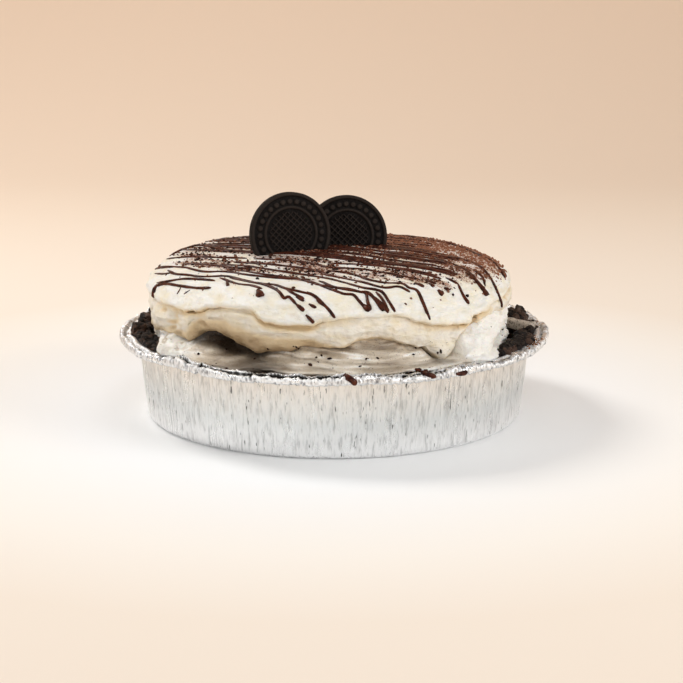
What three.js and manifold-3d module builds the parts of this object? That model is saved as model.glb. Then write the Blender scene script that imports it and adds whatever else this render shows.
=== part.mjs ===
// A no-bake cheesecake pie in its foil tin: a crumb crust that lines the tin, a speckled filling
// heaped above the rim, whipped cream spread over it in two folds, chocolate drizzle and crumbs on
// top, and two dark wafers pushed into the middle. Millimetres, +Z up, the front of the pie at -Y,
// the origin at the middle of the tin's base, on the surface that the tin stands on.

import * as THREE from "three";
import { mergeVertices } from "three/addons/utils/BufferGeometryUtils.js";
import Module from "manifold-3d";

const wasm = await Module();
wasm.setup();

// ---------- Driving dimensions ----------

const GAP = 0.3; // between pieces that touch
const RADIAL_STEPS = 76; // facets round the pie

const TIN_RIM_RADIUS = 114.3; // a 9 inch tin
const TIN_MOUTH_RADIUS = 104.4;
const TIN_BASE_RADIUS = 100.2;
const TIN_DEPTH = 43.6;
const TIN_CORNER = 2.4; // bend between base and wall
const FOIL = 0.6;
const BEAD_LOW = 41.3; // underside of the rolled edge
const BEAD_HIGH = 45.1; // its mean top
const BEAD_WIDTH = 2.8;
const BEAD_WAVE = 0.8; // the rolled edge is bent up and down by hand

const CRUST_WALL = 7.4;
const CRUST_FLOOR = 8;
const CRUST_TOP = 46;
const CRUST_SPILL = 3.6; // how far the crust lies over the tin's flange at the sides
const CRUST_FRONT_DIP = 2; // the crust is worn lower at the front
const CRUST_CRAG = 1.1;

const FILLING_NECK_Z = 35; // where the filling leaves the crust and heaps up
const FILLING_RADIUS = 94.2;
const FILLING_FRONT_SPREAD = 5; // the front of the heap covers the crust
const FILLING_TOP = 57.3;
const HOLLOW_DEPTH = 5; // left by the spatula under the cream

const CREAM_TOP = 86.2;
const CREAM_SHOULDER_DROP = 4.2; // from the middle to the shoulder
const SHOULDER_SHARE = 0.84; // where the shoulder starts, as a share of the radius
const CREAM_SHIFT_X = -2.3; // the cream sits a little to the left
const CREAM_RADIUS = 96.4;
const UPPER_LIP_Z = 72.4;
const LOWER_FOLD_RADIUS = 95.4;
const LOWER_LIP_Z = 60.5;
const LIP_OVERHANG = 6.5; // of the lower fold, past the filling's shoulder

const DRIZZLE_LINES = 13;
const DRIZZLE_PITCH = 12.6;
const DRIZZLE_TURN = -30; // degrees from +X, towards the front right
const DRIZZLE_WIDTH = 2;
const DRIZZLE_HEIGHT = 1;
const DRIP_WIDTH = 3;

const CRUMBS = 12;
const CRUMB_RADIUS = 1.5;

const WAFER_RADIUS = 22.2;
const WAFER_THICKNESS = 4.6;
const WAFER_BEADS = 16;
const WAFER_STEPS = 3 * WAFER_BEADS;
const WAFER_RELIEF = 0.5;
const WAFERS = [
  { name: "wafer_left", at: [-23.4, 0.6, 95.5], turn: 20, lean: 6 },
  { name: "wafer_right", at: [6.6, 20, 90.8], turn: 10, lean: 9 },
];

// ---------- Shared shape helpers ----------

const radians = (degrees) => (degrees * Math.PI) / 180;
const mix = (a, b, t) => a + (b - a) * t;

// 1 at an angle in degrees, falling smoothly to 0 at `reach` degrees to each side.
function bump(theta, at, reach) {
  const turn = (theta * 180) / Math.PI - at;
  const off = Math.abs(turn - 360 * Math.round(turn / 360));
  return off < reach ? 0.5 + 0.5 * Math.cos((Math.PI * off) / reach) : 0;
}

// An uneven wave round the pie, between about -1 and 1: a sum of sines with whole numbers of waves.
function wave(theta, counts, phase) {
  const sum = counts.reduce((s, n, i) => s + Math.sin(n * theta + phase * (i + 1.7) * n), 0);
  return sum / Math.sqrt(counts.length);
}

// 0 where the pie's box touches the axes, 1 between them, so that no wave widens the box.
const offAxis = (theta) => Math.sin(2 * theta) ** 2;

// Points from a seeded sequence, each between 0 and 1.
function seeded(seed) {
  let state = seed;
  return () => (state = (state * 16807) % 2147483647) / 2147483647;
}

// A closed body turned about +Z from a profile that may change with the angle. The profile runs
// from the axis at the bottom, round the outside, to the axis at the top, as [radius, height].
function turned(profileAt, steps) {
  const profiles = Array.from({ length: steps }, (_, j) => profileAt((2 * Math.PI * j) / steps));
  const points = profiles[0].map(([r, z]) => new THREE.Vector2(r, z));
  const geometry = new THREE.LatheGeometry(points, steps);
  const { position } = geometry.attributes;
  for (let v = 0; v < position.count; v++) {
    const j = Math.floor(v / points.length) % steps;
    const theta = (2 * Math.PI * j) / steps;
    const [r, z] = profiles[j][v % points.length];
    position.setXYZ(v, r * Math.cos(theta), r * Math.sin(theta), z);
  }
  return geometry;
}

function solidOf(geometry) {
  const bare = geometry.clone();
  bare.deleteAttribute("normal");
  bare.deleteAttribute("uv");
  const merged = mergeVertices(bare, 1e-4);
  return new wasm.Manifold(
    new wasm.Mesh({
      numProp: 3,
      vertProperties: new Float32Array(merged.attributes.position.array),
      triVerts: new Uint32Array(merged.index.array),
    }),
  );
}

function geometryOf(solid) {
  const mesh = solid.getMesh();
  const geometry = new THREE.BufferGeometry();
  geometry.setAttribute("position", new THREE.BufferAttribute(mesh.vertProperties, 3));
  geometry.setIndex(new THREE.BufferAttribute(mesh.triVerts, 1));
  geometry.computeVertexNormals();
  return geometry;
}

const pie = new THREE.Group();

function addPiece(name, geometry, color, roughness, metalness = 0) {
  const material = new THREE.MeshStandardMaterial({ color, roughness, metalness });
  const mesh = new THREE.Mesh(geometry, material);
  mesh.name = name;
  pie.add(mesh);
  return mesh;
}

// ---------- Foil tin: base, tapered wall, narrow flange and a rolled edge ----------

const wallRadius = (z) => mix(TIN_BASE_RADIUS, TIN_MOUTH_RADIUS, z / TIN_DEPTH);

function tinProfile(theta) {
  const bent = BEAD_WAVE * wave(theta, [3, 5, 9], 0.9);
  const rim = TIN_RIM_RADIUS - 0.9 * offAxis(theta) * (1 + wave(theta, [7, 12], 2.1));
  const high = BEAD_HIGH + bent;
  const inside = wallRadius(TIN_DEPTH - 2) - FOIL;
  return [
    [0, 0],
    [TIN_BASE_RADIUS - TIN_CORNER, 0],
    [TIN_BASE_RADIUS - 0.3 * TIN_CORNER, 0.3 * TIN_CORNER],
    [wallRadius(TIN_CORNER), TIN_CORNER],
    [wallRadius(TIN_DEPTH - 2), TIN_DEPTH - 2],
    [TIN_MOUTH_RADIUS + 1, TIN_DEPTH - FOIL],
    [rim - BEAD_WIDTH - 0.4, TIN_DEPTH - FOIL + 0.2 * bent],
    [rim - BEAD_WIDTH + 0.5, BEAD_LOW],
    [rim - 0.2, BEAD_LOW + 0.2],
    [rim, mix(BEAD_LOW, high, 0.6)],
    [rim - 0.9, high],
    [rim - BEAD_WIDTH, high - 0.5],
    [rim - BEAD_WIDTH - 0.6, TIN_DEPTH + 0.4 + 0.2 * bent],
    [TIN_MOUTH_RADIUS + 0.7, TIN_DEPTH],
    [inside, TIN_DEPTH - 2],
    [wallRadius(TIN_CORNER) - FOIL, TIN_CORNER],
    [TIN_BASE_RADIUS - TIN_CORNER, FOIL],
    [0, FOIL],
  ];
}

addPiece("foil_tin", turned(tinProfile, RADIAL_STEPS), 0xd4d6d6, 0.25, 1);

// ---------- Crumb crust: pressed over the base, up the wall and a little over the flange ----------

const crustOuter = (z) => wallRadius(z) - FOIL - GAP;
const crustInner = (z) => crustOuter(z) - CRUST_WALL;
const atFront = (theta) => bump(theta, -90, 75);

function crustProfile(theta) {
  const front = atFront(theta);
  const crag = wave(theta, [19, 31], 0.6);
  const top = CRUST_TOP - CRUST_FRONT_DIP * front + CRUST_CRAG * wave(theta, [11, 17, 29], 1.3);
  const spill = TIN_MOUTH_RADIUS + mix(CRUST_SPILL, 0.6, front) + 0.4 * crag;
  const onFlange = TIN_DEPTH + 2 * GAP;
  const bottom = FOIL + GAP;
  return [
    [0, bottom],
    [TIN_BASE_RADIUS - TIN_CORNER - GAP, bottom],
    [crustOuter(TIN_CORNER + 1), TIN_CORNER + 1],
    [crustOuter(TIN_DEPTH - 4), TIN_DEPTH - 4],
    [crustOuter(TIN_DEPTH - 4), onFlange],
    [spill, onFlange + 0.2],
    [spill - 1.6, Math.max(top, onFlange + 0.8)],
    [crustInner(TIN_DEPTH) + 2 + 0.7 * crag, top - 2.1 - 0.5 * crag],
    [crustInner(38) + 0.6 + 0.4 * crag, 38],
    [crustInner(FILLING_NECK_Z), FILLING_NECK_Z],
    [crustInner(CRUST_FLOOR + 6), CRUST_FLOOR + 6],
    [crustInner(CRUST_FLOOR) - 5, CRUST_FLOOR],
    [0, CRUST_FLOOR],
  ];
}

addPiece("crumb_crust", turned(crustProfile, RADIAL_STEPS), 0x1e1410, 0.95);

// ---------- Lower edge of the cream, which the filling's shoulder follows ----------

// Where the spatula pulled each fold of the cream down, as [angle, reach, drop].
const UPPER_SWOOPS = [
  [-148, 20, 4.2],
  [-98, 18, 5.6],
  [-52, 17, 8],
  [-14, 26, 3],
  [34, 30, 4.4],
  [84, 26, 3],
  [128, 28, 5],
];
const LOWER_SWOOPS = [
  [-165, 24, 10.5],
  [-140, 18, 4],
  [-113, 22, 9.6],
  [-90, 12, 4],
  [-54, 20, 11],
  [-12, 24, 4],
  [30, 28, 6],
  [72, 24, 8.5],
  [112, 28, 5],
  [148, 20, 7.5],
];
const pulled = (theta, swoops) =>
  swoops.reduce((sum, [at, reach, drop]) => sum + drop * bump(theta, at, reach), 0);
const upperLip = (theta) => UPPER_LIP_Z - pulled(theta, UPPER_SWOOPS);
const lowerLip = (theta) => LOWER_LIP_Z - pulled(theta, LOWER_SWOOPS);
const foldRadius = (theta) => LOWER_FOLD_RADIUS + 0.6 * wave(theta, [4, 9], 0.3);
const hollow = (theta) => bump(theta, -126, 24);

// The filling's shoulder, about the cream's axis.
function shoulder(theta) {
  const r = foldRadius(theta) - LIP_OVERHANG - HOLLOW_DEPTH * hollow(theta);
  return { r, z: Math.min(lowerLip(theta) + 0.5, FILLING_TOP + 1.5) };
}

// ---------- Speckled filling: fills the crust, then heaps up above the rim ----------

function fillingProfile(theta) {
  const spread = FILLING_FRONT_SPREAD * bump(theta, -90, 80);
  const low = FILLING_RADIUS + spread + 0.8 * wave(theta, [4, 7], 0.4) - 2 * hollow(theta);
  const { r, z } = shoulder(theta);
  const waist = mix(low, r, 0.35) - 0.4 * HOLLOW_DEPTH * hollow(theta);
  const floor = CRUST_FLOOR + GAP;
  return [
    [0, floor],
    [crustInner(CRUST_FLOOR) - 5 - GAP, floor],
    [crustInner(CRUST_FLOOR + 6) - 1.4 * GAP, CRUST_FLOOR + 6 + GAP],
    [crustInner(FILLING_NECK_Z) - 2 * GAP, FILLING_NECK_Z - 1],
    [Math.min(low, crustInner(TIN_DEPTH) - GAP), 42],
    [low, 45.8],
    [waist, mix(45.8, z, 0.5)],
    [r, z],
    [r - 2.5, Math.max(z + 0.6, FILLING_TOP - 1)],
    [r - 10, Math.max(z + 0.9, FILLING_TOP)],
    [0, FILLING_TOP],
  ];
}

// Above the crust, the filling moves over with the cream.
function lean(geometry, fromZ, toZ, shiftX) {
  const { position } = geometry.attributes;
  for (let v = 0; v < position.count; v++) {
    const t = THREE.MathUtils.smoothstep(position.getZ(v), fromZ, toZ);
    position.setX(v, position.getX(v) + t * shiftX);
  }
  return geometry;
}

const filling = lean(turned(fillingProfile, RADIAL_STEPS), 42, 47, CREAM_SHIFT_X);
addPiece("speckled_filling", filling, 0xcfc6b2, 0.6);

// ---------- Whipped cream: a low dome over two folds ----------

const creamRadius = (theta) => CREAM_RADIUS + 0.9 * offAxis(theta) * wave(theta, [3, 5], 1.9);

// The dome's height by share of the cream's radius: nearly flat, then a round shoulder that
// stands higher on the left.
function domeHeight(share, theta) {
  const left = 1.6 * bump(theta, 160, 70) * share ** 3;
  const flat = CREAM_TOP - CREAM_SHOULDER_DROP * (share / SHOULDER_SHARE) ** 2 + left;
  const fall = Math.max(0, (share - SHOULDER_SHARE) / (1 - SHOULDER_SHARE)) ** 2;
  return mix(flat, upperLip(theta) + 1.6, Math.min(1, fall));
}

function creamSurface(x, y) {
  const u = x - CREAM_SHIFT_X;
  const theta = Math.atan2(y, u);
  return domeHeight(Math.hypot(u, y) / creamRadius(theta), theta);
}

const DOME_SHARES = [0.97, 0.93, 0.88, 0.78, 0.45];

function creamProfile(theta) {
  const r = creamRadius(theta);
  const upper = upperLip(theta);
  const lower = lowerLip(theta);
  const fold = foldRadius(theta);
  const inner = shoulder(theta);
  return [
    [0, FILLING_TOP + GAP],
    [inner.r - 10, Math.max(inner.z + 0.9, FILLING_TOP) + GAP],
    [inner.r - 1.5, Math.max(inner.z + 0.6, FILLING_TOP - 1) + 3 * GAP],
    [inner.r + 3 * GAP, inner.z + GAP],
    [inner.r + 2.2, lower + 1.2],
    [fold - 1.6, lower],
    [fold, lower + 2.2],
    [fold - 0.4, mix(lower, upper, 0.6)],
    [fold - 1.8, upper - 1.2],
    [r - 1.2, upper - 0.3],
    [r, upper + 1.3],
    ...DOME_SHARES.map((share) => [r * share, domeHeight(share, theta)]),
    [0, CREAM_TOP],
  ];
}

// ---------- Chocolate drizzle: ribs that cross the dome and run over its shoulder ----------

// A rib along plan points, three-sided, with its base sunk into the cream.
function rib(points, widths) {
  const sunk = 1.1;
  const position = [];
  points.forEach(([x, y], i) => {
    const [ax, ay] = points[Math.max(0, i - 1)];
    const [bx, by] = points[Math.min(points.length - 1, i + 1)];
    const length = Math.hypot(bx - ax, by - ay);
    const side = [(-(by - ay) / length) * widths[i] * 0.5, ((bx - ax) / length) * widths[i] * 0.5];
    const z = creamSurface(x, y);
    const left = [x + side[0], y + side[1]];
    const right = [x - side[0], y - side[1]];
    position.push(x, y, z + DRIZZLE_HEIGHT);
    position.push(...left, Math.min(z, creamSurface(...left)) - sunk);
    position.push(...right, Math.min(z, creamSurface(...right)) - sunk);
  });
  const index = [0, 1, 2];
  for (let i = 0; i < points.length - 1; i++) {
    for (let k = 0; k < 3; k++) {
      const a = 3 * i + k;
      const b = 3 * i + ((k + 1) % 3);
      index.push(a, a + 3, b);
      index.push(b, a + 3, b + 3);
    }
  }
  const end = 3 * (points.length - 1);
  index.push(end, end + 2, end + 1);
  const geometry = new THREE.BufferGeometry();
  geometry.setAttribute("position", new THREE.Float32BufferAttribute(position, 3));
  geometry.setIndex(index);
  return solidOf(geometry);
}

function drizzleLines() {
  const random = seeded(7);
  const along = [Math.cos(radians(DRIZZLE_TURN)), Math.sin(radians(DRIZZLE_TURN))];
  const steps = 8;
  const ribs = [];
  for (let n = 0; n < DRIZZLE_LINES; n++) {
    const offset = (n - (DRIZZLE_LINES - 1) / 2) * DRIZZLE_PITCH + 3 * (random() - 0.5);
    const reach = Math.sqrt(Math.max(0, (0.92 * CREAM_RADIUS) ** 2 - offset ** 2));
    const start = -reach * (0.86 + 0.12 * random());
    const stop = reach * (0.96 + 0.08 * random());
    const bow = 2.4 * (random() - 0.5);
    const points = [];
    const widths = [];
    for (let i = 0; i <= steps; i++) {
      const t = i / steps;
      const s = mix(start, stop, t);
      const across = offset + bow * Math.sin(3 * t + n);
      const x = CREAM_SHIFT_X + s * along[0] - across * along[1];
      const y = s * along[1] + across * along[0];
      points.push([x, y]);
      widths.push(i >= steps - 1 ? DRIP_WIDTH : DRIZZLE_WIDTH);
    }
    if (reach > 20) ribs.push(rib(points, widths));
  }
  return ribs;
}

function crumbs() {
  const random = seeded(23);
  return Array.from({ length: CRUMBS }, (_, n) => {
    const r = 70 * Math.sqrt((n + 0.5) / CRUMBS);
    const theta = n * 2.39996;
    const x = CREAM_SHIFT_X + r * Math.cos(theta);
    const y = r * Math.sin(theta);
    const size = CRUMB_RADIUS * (0.7 + 0.6 * random());
    const stone = new THREE.OctahedronGeometry(size);
    stone.scale(1.2, 1, 0.8);
    stone.rotateZ(6 * random());
    stone.translate(x, y, creamSurface(x, y) + 0.2 * size);
    return solidOf(stone);
  });
}

// ---------- Dark wafers: embossed discs that stand in the cream ----------

function waferProfile(theta) {
  const half = WAFER_THICKNESS / 2;
  const face = half - WAFER_RELIEF;
  const bead = WAFER_RELIEF * Math.max(0, Math.cos(WAFER_BEADS * theta));
  const share = (s) => s * WAFER_RADIUS;
  return [
    [0, -half],
    [share(0.97), -half],
    [share(1), -half + 0.7],
    [share(1), half - 0.6],
    [share(0.965), half],
    [share(0.92), face],
    [share(0.8), face + bead],
    [share(0.68), face],
    [share(0.64), half - 0.1],
    [share(0.6), face],
    [share(0.36), face],
    [share(0.3), half - 0.1],
    [0, half - 0.1],
  ];
}

// Turned to face the front, leaned back, then swung about the upright axis.
function placeWafer(object, { at, turn, lean }) {
  object.position.set(...at);
  object.rotation.set(radians(90 - lean), 0, radians(turn), "ZYX");
  object.updateMatrix();
  return object;
}

function waferSlot(wafer) {
  const slot = new THREE.CylinderGeometry(
    WAFER_RADIUS + GAP + 0.1,
    WAFER_RADIUS + GAP + 0.1,
    WAFER_THICKNESS + 2 * GAP,
    WAFER_STEPS,
  );
  slot.rotateX(Math.PI / 2);
  slot.applyMatrix4(placeWafer(new THREE.Object3D(), wafer).matrix);
  return solidOf(slot);
}

const dome = turned(creamProfile, RADIAL_STEPS);
dome.translate(CREAM_SHIFT_X, 0, 0);
let cream = wasm.Manifold.union([solidOf(dome), ...drizzleLines(), ...crumbs()]);
for (const wafer of WAFERS) {
  cream = cream.subtract(waferSlot(wafer));
}
addPiece("whipped_cream", geometryOf(cream), 0xf3ecdb, 0.5);

for (const wafer of WAFERS) {
  const mesh = addPiece(wafer.name, turned(waferProfile, WAFER_STEPS), 0x15110f, 0.8);
  placeWafer(mesh, wafer);
}

export default pie;
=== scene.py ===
import random
from math import atan2, cos, degrees, dist, hypot, pi, radians, sin, sqrt

import bpy
from mathutils import Matrix, Vector, noise
from mathutils.bvhtree import BVHTree


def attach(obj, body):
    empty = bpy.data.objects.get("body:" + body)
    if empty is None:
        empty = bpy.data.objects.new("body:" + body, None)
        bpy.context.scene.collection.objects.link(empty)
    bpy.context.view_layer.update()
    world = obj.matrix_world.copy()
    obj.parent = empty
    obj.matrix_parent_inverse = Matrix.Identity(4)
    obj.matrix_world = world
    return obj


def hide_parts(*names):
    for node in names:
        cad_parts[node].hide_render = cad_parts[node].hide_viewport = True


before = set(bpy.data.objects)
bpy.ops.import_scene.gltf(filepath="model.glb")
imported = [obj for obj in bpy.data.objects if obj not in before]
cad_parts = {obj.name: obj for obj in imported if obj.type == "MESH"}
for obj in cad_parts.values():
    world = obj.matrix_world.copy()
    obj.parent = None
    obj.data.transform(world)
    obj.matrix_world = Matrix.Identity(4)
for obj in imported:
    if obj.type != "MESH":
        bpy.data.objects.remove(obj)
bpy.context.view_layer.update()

# The camera stands a metre in front of the pie and looks 13 degrees down, as it was
# photographed. photo_ray gives the line of sight through one pixel of that picture.

CAMERA_PLACE = Vector((0.004, -1.048, 0.282))
CAMERA_PITCH_DOWN = 13.17
FOCAL_PIXELS, PHOTO_PIXELS, SENSOR_MM = 2000, 683, 36


def placed(name, data):
    """A new object with this data, linked to the scene."""
    made = bpy.data.objects.new(name, data)
    bpy.context.scene.collection.objects.link(made)
    return made


lens = bpy.data.cameras.new("camera")
lens.sensor_width = SENSOR_MM
lens.lens = SENSOR_MM * FOCAL_PIXELS / PHOTO_PIXELS
camera = placed("camera", lens)
camera.location = CAMERA_PLACE
camera.rotation_euler = (radians(90 - CAMERA_PITCH_DOWN), 0, 0)
bpy.context.scene.camera = camera
bpy.context.scene.view_settings.view_transform = "Standard"


def photo_ray(u, v):
    middle = PHOTO_PIXELS / 2
    sight = Vector((u - middle, middle - v, -FOCAL_PIXELS)).normalized()
    return camera.rotation_euler.to_matrix() @ sight


# The foil tin. A disc of thin aluminium is pressed in a die, so its wall is gathered into fine
# upright wrinkles. Its edge is rolled into a crimped bead, with a narrow groove inside it.
# Sizes are in millimetres, which MM turns into the frame's metres.

MM = 0.001
TIN_RIM = 114.3
TIN_MOUTH = 104.4
TIN_BASE = 100.2
TIN_DEPTH = 43.6
FOIL = 0.6
BEAD_LOW, BEAD_HIGH, BEAD_WIDTH = 41.3, 44.9, 2.8
GROOVE_INSIDE = 3.25
WALL_RINGS = 22
TIN_STEPS = 1400
# The height at which the attribute "height", read by the painted reflection on the foil, reaches
# 1.
REFLECTION_HEIGHT = 50


def mix(a, b, t):
    return a + (b - a) * t


def ease(value, low, high):
    """0 below low, 1 above high and a smooth step between them."""
    t = min(1, max(0, (value - low) / (high - low)))
    return t * t * (3 - 2 * t)


def bump(theta, at, reach):
    """1 at an angle in degrees, falling smoothly to 0 at `reach` degrees to each side."""
    off = (degrees(theta) - at + 180) % 360 - 180
    return 0.5 + 0.5 * cos(pi * off / reach) if abs(off) < reach else 0


def wave(theta, counts, phase):
    """An uneven wave round the pie, from a sum of sines with whole numbers of waves."""
    total = sum(sin(n * theta + phase * (i + 1.7) * n) for i, n in enumerate(counts))
    return total / sqrt(len(counts))


def lumpy(x, y, z):
    """Soft random swells and hollows, from 1 to -1."""
    return noise.noise((x, y, z))


def ridges(x, y, z):
    """Sharp creases between soft swells, from 1 at a crease to -1 between creases."""
    return 1 - 4 * abs(lumpy(x, y, z))


def switch(mode):
    bpy.ops.object.mode_set(mode=mode)


def turned(name, steps, profile_at):
    """A shell turned about the upright axis, in a profile that changes with the angle.

    The profile runs as (radius, height) from the axis at the bottom, round the outside, to the
    axis at the top. A circle is drawn at its first point and extruded to each next one.
    """
    bpy.ops.object.select_all(action="DESELECT")
    radius, height = profile_at(0)[0]
    bpy.ops.mesh.primitive_circle_add(vertices=steps, radius=radius * MM)
    shell = bpy.context.object
    shell.name = shell.data.name = name
    switch("EDIT")
    for next_radius, next_height in profile_at(0)[1:]:
        lift = (0, 0, (next_height - height) * MM)
        grow = next_radius / radius
        bpy.ops.mesh.extrude_region_move(TRANSFORM_OT_translate={"value": lift})
        bpy.ops.transform.resize(value=(grow, grow, 1), center_override=(0, 0, 0))
        radius, height = next_radius, next_height
    switch("OBJECT")
    vertices = shell.data.vertices
    for step in range(steps):
        theta = pi / 2 + 2 * pi * step / steps
        for ring, (r, z) in enumerate(profile_at(theta)):
            place = (r * MM * cos(theta), r * MM * sin(theta), z * MM)
            vertices[ring * steps + step].co = place
    for first in (len(vertices) - steps, 0):
        switch("EDIT")
        bpy.ops.mesh.select_all(action="DESELECT")
        switch("OBJECT")
        for vertex in shell.data.vertices[first : first + steps]:
            vertex.select = True
        switch("EDIT")
        bpy.ops.mesh.merge(type="CENTER")
    bpy.ops.mesh.select_all(action="SELECT")
    bpy.ops.mesh.normals_make_consistent(inside=False)
    switch("OBJECT")
    bpy.ops.object.shade_smooth()
    return shell


def raised(profile, amount_at):
    """Each point of a profile moved along its normal by amount_at(index, radius, height)."""
    moved = []
    for i, (r, z) in enumerate(profile):
        before, after = profile[max(0, i - 1)], profile[min(len(profile) - 1, i + 1)]
        along = (after[0] - before[0], after[1] - before[1])
        length = hypot(*along) or 1
        amount = amount_at(i, r, z)
        moved.append((r + along[1] / length * amount, z - along[0] / length * amount))
    return moved


def paint(piece, name, value_at):
    """Stores a number at each vertex, from its place in millimetres, for the material to read."""
    layer = piece.data.attributes.new(name, "FLOAT", "POINT")
    layer.data.foreach_set("value", [value_at(*(v.co / MM)) for v in piece.data.vertices])


def wall_radius(z):
    return mix(TIN_BASE, TIN_MOUTH, z / TIN_DEPTH)


def rim_edge(theta):
    """The rolled edge's outer radius: pushed in unevenly between the four widest places."""
    x, y = cos(theta), sin(theta)
    uneven = 1 + wave(theta, (7, 12), 2.1) + 0.8 * lumpy(28 * x, 28 * y, 11)
    return TIN_RIM - 0.9 * sin(2 * theta) ** 2 * uneven


def groove_radius(theta):
    x, y = cos(theta), sin(theta)
    return rim_edge(theta) - GROOVE_INSIDE + 0.7 * lumpy(11 * x, 11 * y, 3)


def pleats(x, y, z):
    """The fine pleats of the rolled edge, in the direction (x, y) from the axis."""
    return ridges(85 * x, 85 * y, z / 3)


def tin_profile(theta):
    """The pressed disc: wrinkles up the wall, pleats in the bead and a hand-bent edge."""
    x, y = cos(theta), sin(theta)
    bent = 0.8 * wave(theta, (5, 9, 14), 0.9) + 0.9 * lumpy(9 * x, 9 * y, 1)
    edge, groove = rim_edge(theta), groove_radius(theta)
    crumple = 0.8 * lumpy(24 * x, 24 * y, 5) + 0.6 * lumpy(52 * x, 52 * y, 6)
    high = BEAD_HIGH + bent + crumple
    low = BEAD_LOW + 0.4 * bent
    ridge = TIN_DEPTH + mix(0.3, 2.0, bump(theta, -104, 90)) + bent
    ridge += 1.3 * lumpy(16 * x, 16 * y, 8)
    wall = [mix(2, TIN_DEPTH - 2.2, i / (WALL_RINGS - 1)) for i in range(WALL_RINGS)]
    bead = [
        (edge - BEAD_WIDTH + 0.2, low + 0.8), (edge - BEAD_WIDTH + 0.9, low),
        (edge - 0.9, low - 0.1), (edge - 0.2, low + 0.5), (edge, low + 1.2),
        (edge + 0.05, mix(low, high, 0.5)), (edge, high - 1.1), (edge - 0.3, high - 0.4),
        (edge - 0.9, high), (edge - 1.7, high - 0.1), (edge - 2.4, high - 0.5),
    ]
    inside = [
        (groove + 0.3, TIN_DEPTH - 0.6), (groove - 0.3, TIN_DEPTH - 0.7),
        (edge - 4.1, mix(TIN_DEPTH, ridge, 0.5)), (edge - 4.7, ridge - 0.2), (edge - 5.3, ridge),
        (edge - 6.1, mix(TIN_DEPTH, ridge, 0.7)), (TIN_MOUTH + 2.4, TIN_DEPTH + 0.2),
        (TIN_MOUTH + 0.7, TIN_DEPTH - 0.1), (wall_radius(TIN_DEPTH - 2) - FOIL, TIN_DEPTH - 2),
        (wall_radius(6) - FOIL, 6), (TIN_BASE - 2.4, FOIL), (60, FOIL), (1, FOIL),
    ]
    base = [(1, 0), (60, 0), (90, 0), (TIN_BASE - 3, 0), (TIN_BASE - 1.4, 0.4)]
    base += [(TIN_BASE - 0.4, 1.3)]
    under = [(TIN_MOUTH + 0.1, TIN_DEPTH - 1.2), (TIN_MOUTH + 1.2, TIN_DEPTH - FOIL)]
    under += [(edge - BEAD_WIDTH - 1.2, TIN_DEPTH - FOIL)]
    wall_end = len(base) + len(wall)
    bead_start = wall_end + len(under)

    def wrinkle(i, r, z):
        if i < len(base) or i > bead_start + len(bead) + 6:
            return 0
        slant = 0.3 * lumpy(4 * x, 4 * y, 3) * (z - 20) / TIN_BASE
        cx, cy = cos(theta + slant), sin(theta + slant)
        coarse = ridges(26 * cx, 26 * cy, z / 34)
        fine = ridges(80 * cx, 80 * cy, z / 17 + 7)
        if i < wall_end + 1:
            return mix(0.06, 0.4, ease(z, 2, 30)) * (0.5 * coarse + 0.65 * fine)
        return 0.32 * (pleats(x, y, z) + 0.7 * fine) if i >= bead_start else 0

    wall_points = [(wall_radius(z), z) for z in wall]
    return raised(base + wall_points + under + bead + inside, wrinkle)


tin = turned("foil_tin_wrinkled", TIN_STEPS, tin_profile)


def painted_groove_shade(x, y, z):
    """Painted shade: 1 in the groove inside the rolled edge, up to the crest of the ridge in
    front, where the foil is painted dark.
    """
    at = degrees(atan2(y, x))
    inward = groove_radius(atan2(y, x)) - hypot(x, y)
    width = 1.45 + 0.6 * lumpy(x / 9, y / 9, 4)
    dark = ease(inward, -1.2, -0.7) * ease(width - inward, 0, 0.5)
    in_front = mix(0.2, 1, ease(at, -150, -139) * ease(-at, 30, 42))
    return in_front * dark * ease(z, TIN_DEPTH - 1.6, TIN_DEPTH - 1)


def between_pleats(x, y, z):
    """1 in the shade between two pleats of the rolled edge."""
    theta, r = atan2(y, x), hypot(x, y)
    cx, cy = cos(theta), sin(theta)
    uneven = ease(lumpy(9 * cx, 9 * cy, z), -0.5, 0.2)
    shade = ease(-pleats(cx, cy, z), -0.3, 0.7) * uneven
    return shade * ease(r, TIN_MOUTH + 4, TIN_MOUTH + 6) * ease(z, 40.5, 41.5)


# The groove's attribute is painted shade for the foil's colour.
paint(tin, "groove", painted_groove_shade)
paint(tin, "pleats", between_pleats)
# The attribute "height" drives the painted reflection on the foil's wall.
paint(tin, "height", lambda x, y, z: z / REFLECTION_HEIGHT)


def material(name, **sockets):
    """A Principled material with plain numbers set on its own sockets."""
    made = bpy.data.materials.new(name)
    made.use_nodes = True
    shader = made.node_tree.nodes["Principled BSDF"]
    for socket, value in sockets.items():
        shader.inputs[socket.replace("_", " ")].default_value = value
    return made, made.node_tree, shader


def pattern(tree, scale, stretch=(1, 1, 1), kind="Noise", output="Fac", **settings):
    """A texture in object coordinates, with about `scale` of its cells to the metre."""
    place = tree.nodes.new("ShaderNodeTexCoord")
    mapping = tree.nodes.new("ShaderNodeMapping")
    mapping.inputs["Scale"].default_value = stretch
    made = tree.nodes.new("ShaderNodeTex" + kind)
    made.inputs["Scale"].default_value = scale
    for name, value in settings.items():
        made.inputs[name].default_value = value
    tree.links.new(place.outputs["Object"], mapping.inputs["Vector"])
    tree.links.new(mapping.outputs["Vector"], made.inputs["Vector"])
    return made.outputs[output]


def painted(tree, name):
    """The numbers that `paint` has stored on the piece."""
    made = tree.nodes.new("ShaderNodeAttribute")
    made.attribute_name = name
    return made.outputs["Fac"]


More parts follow.
